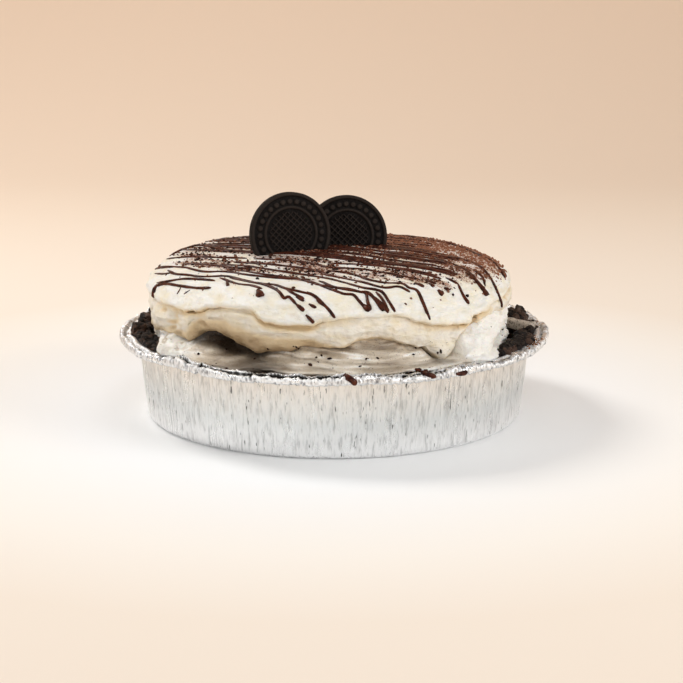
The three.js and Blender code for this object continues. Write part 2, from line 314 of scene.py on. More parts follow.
def ramp(source, *stops):
    """A colour for each number, from (place, colour) stops."""
    tree = source.id_data
    made = tree.nodes.new("ShaderNodeValToRGB")
    elements = made.color_ramp.elements
    while len(elements) < len(stops):
        elements.new(0.5)
    for element, (place, colour) in zip(elements, stops):
        element.position = place
        element.color = (*colour, 1) if isinstance(colour, tuple) else (colour, colour, colour, 1)
    tree.links.new(source, made.inputs["Fac"])
    return made.outputs["Color"]


def blended(tree, share, below, above, how="MIX"):
    """One colour over another. Each is an output or a plain colour."""
    made = tree.nodes.new("ShaderNodeMix")
    made.data_type, made.blend_type = "RGBA", how
    for socket, given in ((made.inputs["Factor"], share), (made.inputs[6], below),
                          (made.inputs[7], above)):
        if isinstance(given, tuple):
            socket.default_value = (*given, 1)
        elif isinstance(given, (int, float)):
            socket.default_value = given
        else:
            tree.links.new(given, socket)
    return made.outputs[2]


def maths(operation, first, second):
    """Two numbers joined by an operation and kept from 0 to 1. The first is an output."""
    tree = first.id_data
    made = tree.nodes.new("ShaderNodeMath")
    made.operation = operation
    made.use_clamp = True
    for socket, value in zip(made.inputs, (first, second)):
        if isinstance(value, (int, float)):
            socket.default_value = value
        else:
            tree.links.new(value, socket)
    return made.outputs["Value"]


def feed(shader, socket, output):
    shader.id_data.links.new(output, shader.inputs[socket])


def bumped(shader, *layers):
    """Bump from (height output, depth in millimetres) layers, one over the other."""
    tree, before = shader.id_data, None
    for height, depth in layers:
        node = tree.nodes.new("ShaderNodeBump")
        node.inputs["Strength"].default_value = 1
        node.inputs["Distance"].default_value = depth * MM
        tree.links.new(height, node.inputs["Height"])
        if before:
            tree.links.new(before.outputs["Normal"], node.inputs["Normal"])
        before = node
    feed(shader, "Normal", before.outputs["Normal"])


def finish_piece(piece, look, slot, *nodes):
    """Gives a finished piece its material and the nodes that it stands for. The slot is not used.
    """
    piece.data.materials.clear()
    piece.data.materials.append(look)
    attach(piece, "root")
    if nodes:
        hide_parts(*nodes)


foil, tree, shader = material("bright_foil", Metallic=1.0)
streaks = pattern(tree, 700, (1, 1, 0.1), Detail=5, Roughness=0.65)
clouds = pattern(tree, 90, (1, 1, 0.4), Detail=4)
flecks = pattern(tree, 900, (1, 1, 0.14), Detail=2)
# Painted light and shade: the foil's colour is lighter and darker along its wrinkle streaks and
# dark in fine creases, where the crinkles catch and lose the light.
streak_light_and_shade = ramp(streaks, (0.34, 0.68), (0.49, 1.0))
crease_shade = ramp(flecks, (0.27, 0.12), (0.32, 1.0))
foil_painted_shading = blended(tree, 1.0, streak_light_and_shade, crease_shade, "MULTIPLY")
# Painted reflection: the wall is white at the bottom, greyer in the middle and warmer towards the
# top, as it mirrors the floor and the peach room; the rolled edge stays white.
painted_reflection = ramp(painted(tree, "height"), (0.08, (1, 1, 1)), (0.36, (0.81, 0.83, 0.825)),
              (0.6, (0.85, 0.835, 0.8)), (0.78, (0.88, 0.83, 0.77)), (0.84, (1, 1, 1)))
foil_painted_shading = blended(tree, 1.0, foil_painted_shading, painted_reflection, "MULTIPLY")
foil_painted_shading = blended(tree, painted(tree, "pleats"), foil_painted_shading, (0.36, 0.36, 0.37))
# Painted shade: near black in the groove inside the rolled edge.
groove_shaded = blended(tree, painted(tree, "groove"), foil_painted_shading, (0.02, 0.018, 0.016))
feed(shader, "Base Color", groove_shaded)
dull = ramp(clouds, (0.35, 0.24), (0.65, 0.4))
feed(shader, "Roughness", dull)
bumped(shader, (streaks, 0.9), (flecks, 0.4))
finish_piece(tin, foil, "foil", "foil_tin")

# The crumb crust. Dark biscuit crumbs are pressed over the base and up the wall by hand, so the
# top edge is broken and uneven. It lies a little over the tin's flange at the sides and back.

CRUST_WALL = 7.4
CRUST_TOP = 46
CRUST_SPILL = 3.6
CRUST_GAP, CRUST_CLEAR = 0.3, 0.9
CRUST_STEPS = 1300
CRUST_RINGS = 44


def crust_inner(z):
    return wall_radius(z) - FOIL - CRUST_GAP - CRUST_WALL


def crumbly(x, y, z, size):
    """Rounded crumbs packed together: 1 on a crumb's top and below 0 between two crumbs."""
    nearest = noise.voronoi((x / size, y / size, z / size))[0][0]
    return 1 - 2.4 * nearest


def evenly(outline, count):
    """Points at even distances along an outline."""
    lengths = [dist(a, b) for a, b in zip(outline, outline[1:])]
    points = []
    for i in range(count):
        left = sum(lengths) * i / (count - 1)
        part = 0
        while part < len(lengths) - 1 and left > lengths[part]:
            left -= lengths[part]
            part += 1
        share = left / lengths[part]
        (ra, za), (rb, zb) = outline[part], outline[part + 1]
        points.append((mix(ra, rb, share), mix(za, zb, share)))
    return points


def covered(theta):
    """1 at the front, where the filling is pulled out over the crust, and 0 elsewhere."""
    at = (degrees(theta) + 180) % 360 - 180
    return ease(at, -154, -144) * ease(-at, 22, 45)


def crust_profile(theta):
    front = covered(theta)
    x, y = TIN_MOUTH * cos(theta), TIN_MOUTH * sin(theta)
    crag = 1.1 * wave(theta, (11, 17, 29), 1.3) + 1.5 * lumpy(x / 7, y / 7, 2)
    top = CRUST_TOP - 2.6 * front + crag * mix(1, 0.3, front)
    spill = TIN_MOUTH + mix(CRUST_SPILL, 0.4, front) + 0.9 * lumpy(x / 5, y / 5, 9)
    inner = crust_inner(TIN_DEPTH) + 1.5 + 1.2 * lumpy(x / 9, y / 9, 6)
    outline = [
        (spill, TIN_DEPTH + 0.5), (spill - 0.4, mix(TIN_DEPTH, top, 0.7)), (spill - 1.8, top),
        (mix(inner, spill, 0.5), top + 0.2), (inner + 1.2, top - 0.6), (inner, top - 2.6),
        (crust_inner(38) + 0.4, 38),
    ]

    def crumbs(i, r, z):
        px, py = r * cos(theta), r * sin(theta)
        return (0.9 * crumbly(px, py, z, 4.2) + 0.35 * crumbly(px, py, z, 1.8)
                + 1.3 * lumpy(px / 5, py / 5, z / 5))

    high_outside = wall_radius(39) - CRUST_CLEAR
    hidden_outside = [
        (1, CRUST_CLEAR), (TIN_BASE - 2.7, CRUST_CLEAR), (wall_radius(3.4) - CRUST_CLEAR, 3.4),
        (high_outside, 39), (high_outside, TIN_DEPTH + 0.4),
    ]
    hidden_inside = [(crust_inner(14), 14), (crust_inner(8) - 5, 8), (1, 8)]
    return hidden_outside + raised(evenly(outline, CRUST_RINGS), crumbs) + hidden_inside


crust = turned("crumb_crust_pressed", CRUST_STEPS, crust_profile)

dark_crumb, tree, shader = material("dark_crumb", Specular_IOR_Level=0.2)
grain = pattern(tree, 900, Detail=4, Roughness=0.7)
patches = pattern(tree, 170, Detail=3)
chunks = pattern(tree, 300, kind="Voronoi", output="Color")
deep = ramp(grain, (0.35, (0.005, 0.0035, 0.003)),
            (0.62, (0.018, 0.011, 0.008)), (0.77, (0.08, 0.05, 0.036)))
browner = ramp(chunks, (0.62, 0.0), (0.75, 0.8))
crumb_colour = blended(tree, browner, deep, (0.085, 0.047, 0.032))
dusty = ramp(patches, (0.6, 0.0), (0.72, 0.45))
crumb_colour = blended(tree, dusty, crumb_colour, (0.15, 0.115, 0.093))
feed(shader, "Base Color", crumb_colour)
shine = ramp(patches, (0.4, 0.42), (0.6, 0.85))
feed(shader, "Roughness", shine)
bumped(shader, (grain, 0.6))
finish_piece(crust, dark_crumb, "crust", "crumb_crust")

# The speckled filling. Soft cream cheese with crumbs stirred in is heaped above the crust and
# smeared level with a spatula. It is pulled over the crust at the front, hollow at the front
# left under the cream, and plump at the right.

CREAM_SHIFT_X = -2.3
FILLING_FOOT, PULLED_FOOT = 94.2, 106.8
FILLING_TOP = 57.2
FILLING_STEPS = 900
FILLING_RINGS = 52


def by_angle(places, theta):
    """A value between (angle in degrees, value) places round the pie, joined smoothly."""
    at = (degrees(theta) - places[0][0]) % 360 + places[0][0]
    for (a, va), (b, vb) in zip(places, [*places[1:], (places[0][0] + 360, places[0][1])]):
        if a <= at < b:
            return mix(va, vb, ease(at, a, b))
    return places[0][1]


# The height where the lower fold of cream meets the filling, and how far inside the fold's own
# radius they meet: deep under the overhanging lobes, and shallow where the filling is plump.
MEETING_Z = [
    (-178, 51), (-168, 49), (-147, 53), (-140, 51), (-134, 57), (-130, 57.5), (-126, 54.5),
    (-119, 51.5), (-114, 49), (-109, 51.5), (-102, 52.3), (-98, 55.5), (-91, 54.8), (-85, 55.2),
    (-81, 58), (-74, 59), (-70, 57), (-65, 54.5), (-60, 52.5), (-57, 48.6), (-53, 45.6),
    (-50, 47), (-46, 57), (-40, 61), (-28, 63), (-12, 60), (4, 57), (20, 53), (34, 51), (48, 56),
    (62, 53), (74, 50), (88, 55), (104, 54), (118, 52), (134, 57), (148, 53), (164, 56),
]
TUCK = [
    (-178, 1.5), (-146, 1.5), (-139, 3), (-133, 10), (-126, 17), (-117, 13), (-108, 7), (-60, 5),
    (-54, 5.5), (-49, 1.4), (-43, 1.0), (-25, 0.8), (0, 2), (30, 5), (52, 2), (76, 5), (100, 3),
    (120, 5), (140, 2), (165, 3),
]
FOLD_RADIUS = 95.4


def fold_radius(theta):
    return FOLD_RADIUS + 0.6 * wave(theta, (4, 9), 0.3)


def streaky(theta, z, seed):
    """Smears left by a level spatula: long round the pie, thin and uneven in height."""
    x, y = 5 * cos(theta), 5 * sin(theta)
    slope = z + 6 * lumpy(0.35 * x, 0.35 * y, seed)
    broad = lumpy(x, y, slope / 1.9 + seed)
    return broad + 0.6 * lumpy(1.7 * x, 1.7 * y, slope / 0.9)


def plain_cheese(theta):
    """1 where the filling is plump and white instead of smeared: at the right and far left."""
    return max(ease(bump(theta, -24, 44), 0.1, 0.5), ease(bump(theta, -147, 22), 0.1, 0.6))


def filling_profile(theta):
    front = covered(theta)
    hollow = bump(theta, -127, 17)
    plump = bump(theta, -30, 34) + 0.7 * bump(theta, -147, 13)
    join_z = by_angle(MEETING_Z, theta)
    join_r = fold_radius(theta) - by_angle(TUCK, theta)
    x, y = cos(theta), sin(theta)
    foot = mix(FILLING_FOOT, PULLED_FOOT, front) + 2 * lumpy(8 * x, 8 * y, 4) + 1.5 * plump
    foot += 1.6 * bump(theta, -38, 20)
    foot -= 4.5 * bump(theta, -107, 8)
    foot_z = mix(44.6, 45, front) + 1.1 * lumpy(10 * x, 10 * y, 5)
    lip = 8 * bump(theta, -146, 17) * front
    outline = [
        (foot - 2, foot_z - 1.4), (foot, foot_z), (foot - 0.4, foot_z + 1.1),
        (foot - 1.6, foot_z + 1.5 + 0.7 * lip), (foot - 4, foot_z + 1.8 + lip),
        (mix(foot, join_r, 0.34) + 1.5 * plump, mix(foot_z, join_z, 0.3) + 0.8 + 1.5 * plump),
        (mix(foot, join_r, 0.66) + 2.2 * plump - 5 * hollow, mix(foot_z, join_z, 0.65) + plump),
        (join_r + 0.4 - 3 * hollow, join_z - 0.3), (join_r - 0.6 - 2 * hollow, join_z + 1.6),
    ]

    def smears(i, r, z):
        lumps = lumpy(13 * x, 13 * y, z / 7)
        small_lumps = lumpy(30 * x, 30 * y, z / 3)
        fine = lumpy(r * x / 1.6, r * y / 1.6, z / 1.1)
        smear = mix(0.8, 0.12, plain_cheese(theta)) * streaky(theta, z, 3)
        rough = plain_cheese(theta) * (0.7 * small_lumps + 0.5 * lumpy(60 * x, 60 * y, z))
        return ease(i, 0, 6) * (smear + 0.9 * lumps + 0.4 * small_lumps + rough + 0.14 * fine)

    low = [(1, 8.3), (crust_inner(8) - 5.3, 8.3), (crust_inner(14) - 0.5, 14.3)]
    low += [(crust_inner(34) - 0.6, 34), (min(foot - 2.2, crust_inner(TIN_DEPTH) - 0.3), 41)]
    top_z = max(join_z + 1.8, FILLING_TOP)
    high = [(join_r - 5 - 3 * hollow, top_z - 0.4), (join_r - 12 - 3 * hollow, top_z)]
    return low + raised(evenly(outline, FILLING_RINGS), smears) + [*high, (1, FILLING_TOP)]


filling = turned("speckled_filling_smeared", FILLING_STEPS, filling_profile)
for vertex in filling.data.vertices:
    vertex.co.x += ease(vertex.co.z / MM, 42, 47) * CREAM_SHIFT_X * MM


def smear_crumbs_and_shade(x, y, z):
    """Where the filling is greyer: crumbs smeared through it, and painted shade in the hollows of
    its smears.
    """
    theta = atan2(y, x - CREAM_SHIFT_X)
    crumbs_left = lumpy(x / 6, y / 6, z / 4 + 2)
    crumbs_left += 0.5 * lumpy(x / 2, y / 2, z / 2)
    crumbs_left = bump(theta, -147, 16) * ease(crumbs_left, 0.12, 0.42)
    return mix(0.5 - 0.75 * streaky(theta, z, 3), 0.8 * crumbs_left, plain_cheese(theta))


def painted_pocket_shade(x, y, z):
    """Painted shade: 1 deep inside the pocket under the roll of cream at the front left, and under
    the curl and at the foot, where the filling is painted near black.
    """
    theta = atan2(y, x - CREAM_SHIFT_X)
    inward = ease(-hypot(x - CREAM_SHIFT_X, y), -97, -88)
    under_curl = 0.7 * bump(theta, -56, 6) * ease(z, 45, 47) * ease(-z, -53, -50)
    at_foot = 0.8 * bump(theta, -111, 14) * ease(-z, -50.5, -46.5)
    return max(bump(theta, -127, 24) ** 0.3 * inward * ease(z, 44.5, 48), under_curl, at_foot)


paint(filling, "smear", smear_crumbs_and_shade)
# The attribute "pocket" is painted shade.
paint(filling, "pocket", painted_pocket_shade)

speckled_cheese, tree, shader = material(
    "speckled_cheese", Roughness=0.42, Subsurface_Weight=0.25, Subsurface_Scale=0.003)
shader.inputs["Subsurface Radius"].default_value = (1, 0.75, 0.5)
small_specks = pattern(tree, 1300, Detail=2)
clouds = pattern(tree, 90, (1, 1, 2.5), Detail=4)
# Greyer and darker where smeared: partly crumbs, partly painted shade in the hollows of the
# smears.
cheese = ramp(painted(tree, "smear"), (0.05, (0.98, 0.955, 0.9)),
              (0.35, (0.76, 0.68, 0.57)), (0.85, (0.27, 0.21, 0.15)))
cloudy = ramp(clouds, (0.42, 0.0), (0.66, 0.75))
smeared = ramp(painted(tree, "smear"), (0.02, 0.25), (0.1, 1.0))
cheese = blended(tree, maths("MULTIPLY", cloudy, smeared), cheese, (0.56, 0.47, 0.36))
# Painted shade: near black deep in the pocket under the roll of cream, under the curl and at the
# foot.
cheese = blended(tree, painted(tree, "pocket"), cheese, (0.035, 0.022, 0.014))
grit = ramp(small_specks, (0.63, 0.0), (0.7, 0.8))
cheese = blended(tree, maths("MULTIPLY", grit, smeared), cheese, (0.14, 0.1, 0.075))
feed(shader, "Base Color", cheese)
soft = pattern(tree, 380, (1, 1, 1.8), Detail=4, Roughness=0.6)
bumped(shader, (soft, 1.0), (small_specks, 0.2))
finish_piece(filling, speckled_cheese, "filling", "speckled_filling")

# The whipped cream, spread over the filling with a palette knife: a low dome whose edge hangs
# in an upper fold over a lower one. The lower fold is rolled into lobes that turn under.

CREAM_RADIUS = 96.4
CREAM_TOP = 86.2
SHOULDER_DROP = 4.2
SHOULDER_SHARE = 0.84
CREAM_STEPS = 760
UNDER_RINGS, FACE_RINGS, LIP_RINGS, SIDE_RINGS, DOME_RINGS = 10, 22, 5, 28, 46

# The lip of the upper fold, by angle, and how deep the crease under it is cut.
UPPER_LIP = [
    (-178, 70), (-160, 67.8), (-150, 68.4), (-140, 67.6), (-133, 69.2), (-128, 72), (-122, 73.9),
    (-114, 73.6), (-109, 67.6), (-104, 66.6), (-96, 66.8), (-91, 69.6), (-85, 71), (-71, 71.6),
    (-67, 70.3), (-62, 66.6), (-57, 64.4), (-50, 63), (-43, 62), (-37, 66), (-30, 69), (-14, 69.5),
    (4, 72), (20, 70), (34, 67.5), (50, 70), (66, 72), (84, 69), (100, 71.5), (116, 69),
    (130, 67.5), (146, 70.5), (160, 72),
]
CREASE_DEPTH = [
    (-178, 1.2), (-160, 0.8), (-150, 1.4), (-135, 2.2), (-125, 1.2), (-116, 1.1), (-108, 2.2),
    (-98, 2.4), (-90, 1.2), (-75, 0.7), (-66, 1.1), (-58, 1.5), (-46, 1.8), (-38, 2.6), (-28, 0.6),
    (0, 1.6), (30, 2.4), (60, 1.2), (90, 2), (130, 2.4), (155, 1),
]
# The lower edge of the lower fold's bright face, from where it turns under.
FOLD_EDGE = [
    (-178, 55), (-165, 53.5), (-148, 56), (-141, 57), (-134.5, 64.5), (-130, 67), (-123, 67.6),
    (-118, 65.5), (-112, 62.6), (-104, 61.5), (-96, 61.4), (-91, 59.3), (-87, 57.5), (-84, 58.4),
    (-81, 61.4), (-75, 61.8), (-71.5, 60.6), (-69, 57.9), (-64.5, 55.4), (-60, 53.6),
    (-57, 50.2), (-54, 46.8), (-50, 48.5), (-46, 58), (-40, 62), (-28, 64), (-12, 62), (4, 60),
    (20, 56), (34, 54), (48, 59), (62, 56), (74, 53), (88, 58), (104, 57), (118, 55), (134, 60),
    (148, 56), (164, 59),
]


def cream_radius(theta):
    uneven = sin(2 * theta) ** 2
    return CREAM_RADIUS + 0.9 * uneven * wave(theta, (3, 5), 1.9)


def dome_height(share, theta, lip):
    left = 1.6 * bump(theta, 160, 70) * share**3
    flat = CREAM_TOP - SHOULDER_DROP * (share / SHOULDER_SHARE) ** 2 + left
    fall = max(0, (share - SHOULDER_SHARE) / (1 - SHOULDER_SHARE)) ** 2
    return mix(flat, lip + 1.6, min(1, fall))


# Marks of the knife and lumps on the side, each as (angle, height, half width in degrees,
# half height in millimetres, how far it stands out). Negative ones are pressed in.
DABS_BEHIND = 44
DABS = [
    (-157, 61, 6, 8, 1.4), (-146, 61, 3.6, 9, -2.2), (-138.5, 62, 4, 8, 1.2),
    (-134, 66, 4, 2.6, 1.0), (-128, 64, 5, 4, 1.6), (-120, 62, 4.5, 3.5, 1.0),
    (-117, 69.5, 7, 2, 0.9), (-113, 57, 4, 4, -1.2), (-103, 64, 5, 2, 0.8), (-95, 57, 4, 3, -1.0),
    (-86, 66, 7, 4, 0.7), (-78, 66, 6, 2.4, -0.6), (-70, 66, 5, 4, 0.6), (-61, 60, 5, 3.5, 0.9),
    (-54, 49, 4.5, 6, 2.6), (-44, 66, 4, 3, 1.1), (-40.5, 62, 2.4, 5, -2.4), (-33, 66, 5, 5, 1.5),
    (-150, 75, 9, 3, 0.6), (-126, 77, 8, 2.2, -0.7), (-112, 74.5, 7, 2.2, 0.8),
    (-96, 74, 8, 2.5, 0.6), (-80, 75, 9, 3, -0.5), (-58, 70, 7, 3, 0.5), (-34, 73, 7, 3, -0.5),
]
dab_random = random.Random(31)
for behind in range(DABS_BEHIND):
    DABS.append((
        dab_random.uniform(-22, 196), dab_random.uniform(56, 78), dab_random.uniform(3, 9),
        dab_random.uniform(2, 6), dab_random.uniform(-1.6, 1.5),
    ))


def dabbed(theta, z):
    at = degrees(theta)
    total = 0
    for angle, height, wide, high, out in DABS:
        dz = (z - height) / high
        if -1 < dz < 1:
            da = ((at - angle + 180) % 360 - 180) / wide
            if -1 < da < 1:
                total += out * (1 - da * da) ** 2 * (1 - dz * dz) ** 2
    return total


def rolled_lumps(theta, z):
    """The broken swells of the lower fold where it is rolled over, at the front left."""
    x, y = cos(theta), sin(theta)
    place = bump(theta, -142, 36) * ease(by_angle(UPPER_LIP, theta) - z, 0, 3)
    swell = 2.2 * lumpy(11 * x + z / 16, 11 * y, z / 7 + 3 * x)
    return place * (swell + 0.45 * ridges(7 * x, 7 * y, z / 3 + 6 * y) + 0.2)


def cream_profile(theta):
    r, fold = cream_radius(theta), fold_radius(theta)
    lines = (UPPER_LIP, FOLD_EDGE, MEETING_Z, TUCK, CREASE_DEPTH)
    lip, edge, join, tuck, crease = (by_angle(places, theta) for places in lines)
    x, y = cos(theta), sin(theta)
    edge = min(edge, lip - 2.2)
    join = min(join, edge - 0.8)
    hidden = [(1, 57.6), (fold - tuck - 16, 58), (fold - tuck - 6, max(join + 2.2, 57.8))]
    points = []
    for i in range(UNDER_RINGS):
        turn = pi / 2 * i / UNDER_RINGS
        points.append((fold - tuck + tuck * sin(turn), mix(join, edge, 1 - cos(turn))))
    for i in range(FACE_RINGS):
        t = i / (FACE_RINGS - 1)
        bulge = 0.9 * sin(pi * min(1, t * 1.3)) - crease * ease(t, 0.55, 1)
        points.append((fold + bulge, mix(edge, lip - 0.3, t)))
    for i in range(LIP_RINGS):
        turn = pi / 2 * i / (LIP_RINGS - 1)
        out = mix(fold - crease * 0.6, r, sin(turn))
        points.append((out, lip - 0.9 + 1.6 * (1 - cos(turn))))
    for i in range(1, SIDE_RINGS + 1):
        share = mix(1, SHOULDER_SHARE, (i / SIDE_RINGS) ** 1.5)
        points.append((r * share, dome_height(share, theta, lip)))
    for i in range(1, DOME_RINGS + 1):
        share = SHOULDER_SHARE * (1 - i / DOME_RINGS) + 1 / r
        points.append((r * share, dome_height(share, theta, lip)))

    def knife(i, pr, z):
        px, py = pr * x, pr * y
        on_top = ease(z, lip + 4, lip + 9)
        level = 5 * lumpy(1.2 * x, 1.2 * y, 7)
        swipe = lumpy(4 * x, 4 * y, (z + level) / 2.4) * (1 - on_top)
        swipe += 0.7 * ridges(3 * x, 3 * y, (z + 1.6 * level) / 4.4) * (1 - on_top)
        lumps = lumpy(18 * x, 18 * y, z / 5) * (1 - on_top)
        lumps += 0.7 * lumpy(44 * x, 44 * y, z / 2.2) * (1 - on_top)
        lumps += rolled_lumps(theta, z)
        strokes_on_top = lumpy((px + 1.8 * py) / 7, (py - 0.4 * px) / 26, 4) * on_top
        broad = lumpy(px / 24, py / 24, z / 16)
        fine = lumpy(px / 2.2, py / 2.2, z / 1.3)
        ends = ease(i, 0, 4) * ease(pr, 2, 12)
        return ends * (0.45 * swipe + 0.35 * strokes_on_top + 0.7 * broad + 0.12 * fine
                       + 0.7 * lumps + dabbed(theta, z) * ease(i, 1, 5))

    return hidden + raised(points, knife)


cream = turned("whipped_cream_spread", CREAM_STEPS, cream_profile)
for vertex in cream.data.vertices:
    vertex.co.x += CREAM_SHIFT_X * MM


def painted_fold_shade(x, y, z):
    """Painted shade: 1 in the creases, under the folds and in pressed hollows, where the cream is
    painted darker and more yellow.
    """
    theta = atan2(y, x - CREAM_SHIFT_X)
    lip, edge = by_angle(UPPER_LIP, theta), by_angle(FOLD_EDGE, theta)
    depth = by_angle(CREASE_DEPTH, theta)
    under_lip = ease(depth, 0.3, 2.2) * ease(3.4 - abs(z - lip + 1.3), 0, 3.2)
    under_edge = mix(0.6, 1, ease(edge - z, 4, 12)) * ease(edge - z, -1, 4)
    pressed = ease(-dabbed(theta, z) - 1.2 * rolled_lumps(theta, z), 0.2, 1.8)
    lower = 0.15 * ease(lip - z, 0, 4)
    return ease(-z, -84, -80) * min(1, 0.6 * under_lip + under_edge + 0.55 * pressed + lower)


paint(cream, "fold", painted_fold_shade)

DRIZZLE_TURN = -26

# The thickest patches of cocoa on the top, as (x, y, half length, half width) in millimetres.
COCOA_PATCHES = [
    (-59, 10, 24, 9), (-67, -24, 16, 6), (-44, -40, 20, 7), (-18, -62, 16, 5), (6, -2, 26, 11),
    (22, -26, 24, 7), (43, -58, 18, 6), (64, -32, 16, 7), (58, 31, 28, 14), (30, 10, 22, 10),
]


def along_drizzle(x, y):
    """A place on the top as (along the drizzle, across it)."""
    turn = radians(DRIZZLE_TURN)
    return x * cos(turn) + y * sin(turn), y * cos(turn) - x * sin(turn)


def cocoa_at(x, y, z):
    """How thickly cocoa and crumbs lie: in bands along the drizzle, over the middle and back."""
    s, t = along_drizzle(x, y)
    bands = lumpy(s / 38, t / 5.5, 2) + 0.6 * lumpy(s / 16, t / 3, 5)
    patches = lumpy(x / 34, y / 34, 8)
    middle = ease(y + 0.3 * x, -68, -46) * ease(92 - hypot(x, y), 0, 12)
    back_right = 0.85 * ease(x + 1.1 * y, 20, 80)
    white_left = 0.25 * ease(-x - 0.3 * y, 66, 90)
    spread = middle * (0.5 + 1.1 * bands + 0.5 * patches) + back_right - white_left
    for px, py, long, wide in COCOA_PATCHES:
        along, aside = along_drizzle(x - px, y - py)
        along, aside = along / long, aside / wide
        spread += 0.75 * max(0, 1 - along * along - aside * aside)
    return ease(z, 76, 80) * min(1, max(0, spread))


paint(cream, "cocoa", cocoa_at)

whipped, tree, shader = material(
    "whipped_cream_look", Roughness=0.42, Subsurface_Weight=0.15, Subsurface_Scale=0.002)
shader.inputs["Subsurface Radius"].default_value = (1, 0.8, 0.55)
airy = pattern(tree, 260, (1, 1, 1.6), Detail=5, Roughness=0.6)
buttery = pattern(tree, 120, (1, 1, 1.8), Detail=3)
powder = pattern(tree, 1500, Detail=3, Roughness=0.8)
creamy = ramp(buttery, (0.42, (0.92, 0.9, 0.845)), (0.7, (0.88, 0.81, 0.64)))
# Painted shade: the creases and the undersides of the folds are painted tan and brown.
shaded = ramp(painted(tree, "fold"), (0.6, (0.8, 0.64, 0.41)), (1.0, (0.5, 0.36, 0.21)))
in_shade = ramp(painted(tree, "fold"), (0.0, 0.0), (0.6, 1.0))
creamy = blended(tree, in_shade, creamy, shaded)
sifted = ramp(powder, (0.36, 1.0), (0.62, 0.0))
dust = maths("MULTIPLY", painted(tree, "cocoa"), sifted)
dust = ramp(dust, (0.1, 0.0), (0.45, 0.95))
dusted = blended(tree, dust, creamy, (0.33, 0.13, 0.07))
feed(shader, "Base Color", dusted)
feed(shader, "Specular IOR Level", ramp(dust, (0.0, 0.5), (0.6, 0.05)))
knifed = pattern(tree, 70, (1, 1, 2.6), Detail=6, Roughness=0.65)
bumped(shader, (knifed, 2.4), (airy, 0.9))
finish_piece(cream, whipped, "cream", "whipped_cream")

# The chocolate drizzle, thrown over the cream from a spoon in quick parallel lines. It runs
# over the shoulder in places and ends in thick drips. Those in front follow the photograph, each
# a list of the pixels that it passes, and the others repeat them over the middle and the back.

LINES_IN_PHOTO = [
    [(151, 271), (159, 268), (170, 267), (186, 268), (204, 272), (226, 272), (247, 275),
     (274, 278), (301, 280), (318, 285), (330, 287), (346, 290), (360, 292), (370, 294),
     (383, 311)],
    [(170, 256), (180, 251), (188, 247), (204, 246), (223, 250), (247, 252)],
    [(167, 259), (194, 257), (220, 258), (247, 258.5)],
    [(168, 270.5), (175, 274), (186, 275), (203, 277), (226, 276.5), (242, 280), (260, 284),
     (274, 285), (287, 289), (301, 292), (314, 296), (327, 308), (335, 318)],
    [(184, 264), (207, 265), (226, 267), (250, 269)],
    [(155, 286), (166, 284), (180, 286), (196, 288), (211, 288)],
    [(157, 283), (170, 281), (184, 279), (200, 279.5), (215, 281)],
    [(220, 278), (237, 284), (252, 286), (262, 289)],
    [(230, 278), (248, 282), (265, 285), (278, 291), (284, 298), (289, 297), (296, 304)],
    [(226, 269), (242, 271), (260, 274), (287, 278), (307, 281), (327, 288), (343, 294),
     (353, 295), (359, 301), (366, 309)],
    [(287, 290), (296, 295), (304, 299)],
    [(220, 265), (247, 266.5), (274, 270.5), (301, 274.5), (327, 278.6), (343, 282.6),
     (363, 288), (376, 290), (383, 293), (389, 302), (395, 312)],
    [(234, 262.5), (260, 264), (287, 266.5), (314, 270.5), (330, 276), (350, 280), (364, 283),
     (384, 288), (399, 287), (410, 292)],
    [(254, 259), (287, 261), (314, 264), (330, 268), (357, 269), (384, 273), (405, 277),
     (420, 280)],
    [(307, 292), (316, 297), (319, 302), (326, 307), (332, 314)],
    [(319, 281), (334, 287), (348, 289), (360, 292), (366, 294), (368, 303), (371, 309)],
    [(367, 293), (376, 299), (382, 305), (384, 311)],
    [(376, 292), (382, 299), (386, 306), (388, 313)],
    [(330, 271), (350, 274), (369, 280), (385, 283), (402, 284), (409, 288), (417, 291),
     (423, 303), (430, 320)],
    [(330, 264), (363, 265), (397, 269), (424, 274.5), (441, 279)],
    [(330, 258.5), (370, 261), (410, 265), (437, 269), (457, 275)],
    [(330, 246.5), (370, 250.5), (410, 256), (437, 260), (464, 269), (477, 281), (489, 295)],
    [(384, 248), (424, 252), (457, 258.5), (477, 265), (490, 278), (500, 299), (502, 307)],
    [(410, 238), (450, 244), (477, 254.5), (494, 263), (505, 278)],
    [(446, 278), (454, 282), (458, 284)],
    [(467, 273), (475, 280), (482, 289), (486, 294)],
    [(473, 270), (482, 277), (485, 286)],
]
# Drips and drops, as the pixels along each and its width in millimetres.
DRIPS_IN_PHOTO = [
    ([(157, 285), (154.5, 290), (153.5, 297)], 3.6), ([(227, 281), (228, 286)], 2.6),
    ([(258, 290), (260, 294), (261, 297)], 5.2), ([(296, 304), (304, 311)], 2.3),
    ([(306, 315), (314, 323)], 2.1), ([(309, 304), (316, 308)], 2.4),
    ([(363, 305), (370, 311)], 3.8), ([(385, 306), (388, 312)], 2.4),
    ([(430, 284), (434, 287)], 3.2), ([(438, 290), (443, 295)], 4.2),
    ([(444, 288), (449, 290)], 3), ([(458, 284), (463, 295), (469, 304)], 2.2),
    ([(483, 290), (487, 296)], 3), ([(502, 270), (506, 277)], 3),
    ([(415, 283), (424, 287)], 2.6), ([(425, 280), (436, 284)], 2.4),
    ([(181, 287), (179, 291), (177, 294)], 1.1), ([(190, 290), (187, 292), (184, 294)], 1.0),
    ([(155, 273.5), (163, 274), (171, 273)], 1.5), ([(296, 297), (304, 301)], 2),
]
